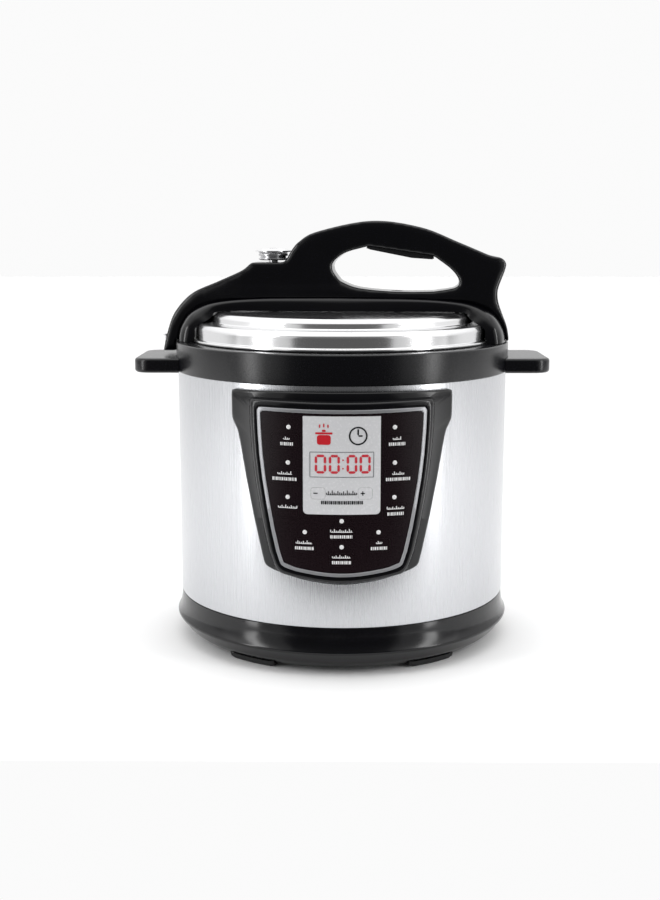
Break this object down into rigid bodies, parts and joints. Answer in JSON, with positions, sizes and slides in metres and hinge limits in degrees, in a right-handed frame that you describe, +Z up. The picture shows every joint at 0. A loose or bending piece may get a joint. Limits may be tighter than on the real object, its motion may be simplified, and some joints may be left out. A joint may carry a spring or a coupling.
{
  "type": "electric pressure cooker",
  "caption": "Free-standing round electric pressure cooker with a front control panel, locking lid, loop handle, pressure valve, cooking pot and steam rack.",
  "frame": {"origin": "middle of the base on the surface it stands on", "axes": "+Z up, -Y out of the control panel, +X to the right as seen from the front"},
  "size_m": [0.355, 0.313, 0.3613],
  "materials": {
    "black_gloss": "moulded, high gloss",
    "black_satin": "moulded, satin",
    "grip_plastic": "moulded, fine texture",
    "brushed_steel": "brushed along the body's height",
    "polished_steel": "pressed and polished",
    "plain_steel": "pressed stainless steel",
    "zinc_plate": "zinc plated sheet",
    "cast_aluminium": "cast and faced",
    "copper_coating": "metallic copper-brown non-stick coating",
    "silicone": "moulded silicone",
    "foot_rubber": "moulded",
    "clear_plastic": "clear moulded",
    "panel_film": "dark printed film",
    "silver_print": "satin silver",
    "display_white": "white printed film",
    "circuit_board": "lacquered board with parts",
    "white_resin": "moulded"
  },
  "bodies": {
    "housing": {"base_shell": "black_gloss", "bottom_plate": "zinc_plate", "bottom_screw_1": "plain_steel", "bottom_screw_2": "plain_steel", "foot_front_left": "foot_rubber", "foot_front_right": "foot_rubber", "foot_rear_left": "foot_rubber", "foot_rear_right": "foot_rubber", "outer_shell": "brushed_steel", "top_ring": "black_satin", "side_handle_left": "black_satin", "side_handle_right": "black_satin", "outer_pot": "plain_steel", "heat_shield": "zinc_plate", "heating_plate": "cast_aluminium", "sensor_spring": "plain_steel", "spring_plate": "plain_steel", "pressure_switch": "white_resin", "power_board": "circuit_board", "mains_inlet": "black_satin", "panel_frame": "black_gloss", "panel_trim": "silver_print", "panel_overlay": "panel_film", "display_window": "display_white", "control_board": "circuit_board", "display_module": "white_resin", "cup_bracket": "black_satin"},
    "lid_seal": {"sealing_ring": "silicone", "seal_support_ring": "plain_steel"},
    "lid": {"lid_cover": "polished_steel", "pressure_lid": "plain_steel", "bridge_cover": "black_gloss", "handle_shell": "black_gloss", "handle_grip": "grip_plastic", "handle_screw_left": "plain_steel", "handle_screw_right": "plain_steel", "lid_hanger_pin": "plain_steel", "vent_pipe": "plain_steel", "vent_nut": "plain_steel", "anti_block_cap": "plain_steel"},
    "limiter_weight": {"limiter_weight": "plain_steel"},
    "limiter_cap": {"limiter_cap": "polished_steel"},
    "float_valve": {"float_valve": "plain_steel", "float_gasket": "silicone"},
    "pot": {"inner_pot": "copper_coating"},
    "rack": {"steam_rack": "plain_steel"},
    "sensor": {"sensor_plunger": "cast_aluminium"},
    "condensate_cup": {"condensate_cup": "clear_plastic"},
    "key_left_1": {"key_left_1": "panel_film"},
    "key_left_2": {"key_left_2": "panel_film"},
    "key_left_3": {"key_left_3": "panel_film"},
    "key_right_1": {"key_right_1": "panel_film"},
    "key_right_2": {"key_right_2": "panel_film"},
    "key_right_3": {"key_right_3": "panel_film"},
    "key_low_left": {"key_low_left": "panel_film"},
    "key_low_right": {"key_low_right": "panel_film"},
    "key_middle_upper": {"key_middle_upper": "panel_film"},
    "key_middle_lower": {"key_middle_lower": "panel_film"},
    "key_minus": {"key_minus": "display_white"},
    "key_plus": {"key_plus": "display_white"}
  },
  "joints": [
    {"name": "lid_lift", "type": "slide", "parent": "housing", "child": "lid_seal", "axis": [0, 0, 1], "range_m": [0, 0.36]},
    {"name": "lid_turn", "type": "hinge", "parent": "lid_seal", "child": "lid", "pos_m": [0, 0, 0.24], "axis": [0, 0, 1], "range_deg": [-30, 0]},
    {"name": "pot_lift", "type": "slide", "parent": "housing", "child": "pot", "axis": [0, 0, 1], "range_m": [0, 0.18]},
    {"name": "rack_lift", "type": "slide", "parent": "pot", "child": "rack", "axis": [0, 0, 1], "range_m": [0, 0.09]},
    {"name": "limiter_lift", "type": "slide", "parent": "lid", "child": "limiter_weight", "axis": [0, 0, 1], "range_m": [0, 0.025]},
    {"name": "limiter_turn", "type": "hinge", "parent": "limiter_weight", "child": "limiter_cap", "pos_m": [-0.05985, 0.00419, 0.335], "axis": [0, 0, 1], "range_deg": [-45, 45]},
    {"name": "float_rise", "type": "slide", "parent": "lid", "child": "float_valve", "axis": [0, 0, 1], "range_m": [0, 0.0036]},
    {"name": "sensor_press", "type": "slide", "parent": "housing", "child": "sensor", "axis": [0, 0, 1], "range_m": [-0.003, 0], "stiffness_N_per_m": 600, "springref_m": 0.004, "deforming": ["sensor_spring"]},
    {"name": "cup_pull", "type": "slide", "parent": "housing", "child": "condensate_cup", "axis": [0, 1, 0], "range_m": [0, 0.03]},
    {"name": "key_left_1_press", "type": "slide", "parent": "housing", "child": "key_left_1", "axis": [0.2812, 0.9597, 0], "range_m": [0, 0.0003], "stiffness_N_per_m": 1500},
    {"name": "key_left_2_press", "type": "slide", "parent": "housing", "child": "key_left_2", "axis": [0.2812, 0.9597, 0], "range_m": [0, 0.0003], "stiffness_N_per_m": 1500},
    {"name": "key_left_3_press", "type": "slide", "parent": "housing", "child": "key_left_3", "axis": [0.2684, 0.9633, 0], "range_m": [0, 0.0003], "stiffness_N_per_m": 1500},
    {"name": "key_right_1_press", "type": "slide", "parent": "housing", "child": "key_right_1", "axis": [-0.2812, 0.9597, 0], "range_m": [0, 0.0003], "stiffness_N_per_m": 1500},
    {"name": "key_right_2_press", "type": "slide", "parent": "housing", "child": "key_right_2", "axis": [-0.2812, 0.9597, 0], "range_m": [0, 0.0003], "stiffness_N_per_m": 1500},
    {"name": "key_right_3_press", "type": "slide", "parent": "housing", "child": "key_right_3", "axis": [-0.2684, 0.9633, 0], "range_m": [0, 0.0003], "stiffness_N_per_m": 1500},
    {"name": "key_low_left_press", "type": "slide", "parent": "housing", "child": "key_low_left", "axis": [0.1866, 0.9824, 0], "range_m": [0, 0.0003], "stiffness_N_per_m": 1500},
    {"name": "key_low_right_press", "type": "slide", "parent": "housing", "child": "key_low_right", "axis": [-0.1866, 0.9824, 0], "range_m": [0, 0.0003], "stiffness_N_per_m": 1500},
    {"name": "key_middle_upper_press", "type": "slide", "parent": "housing", "child": "key_middle_upper", "axis": [0, 1, 0], "range_m": [0, 0.0003], "stiffness_N_per_m": 1500},
    {"name": "key_middle_lower_press", "type": "slide", "parent": "housing", "child": "key_middle_lower", "axis": [0, 1, 0], "range_m": [0, 0.0003], "stiffness_N_per_m": 1500},
    {"name": "key_minus_press", "type": "slide", "parent": "housing", "child": "key_minus", "axis": [0.1169, 0.9931, 0], "range_m": [0, 0.0003], "stiffness_N_per_m": 1500},
    {"name": "key_plus_press", "type": "slide", "parent": "housing", "child": "key_plus", "axis": [-0.1169, 0.9931, 0], "range_m": [0, 0.0003], "stiffness_N_per_m": 1500}
  ],
  "couplings": [
    {"joint": "pot_lift", "follows": "lid_lift", "ratio": 0.5},
    {"joint": "rack_lift", "follows": "lid_lift", "ratio": 0.25}
  ]
}
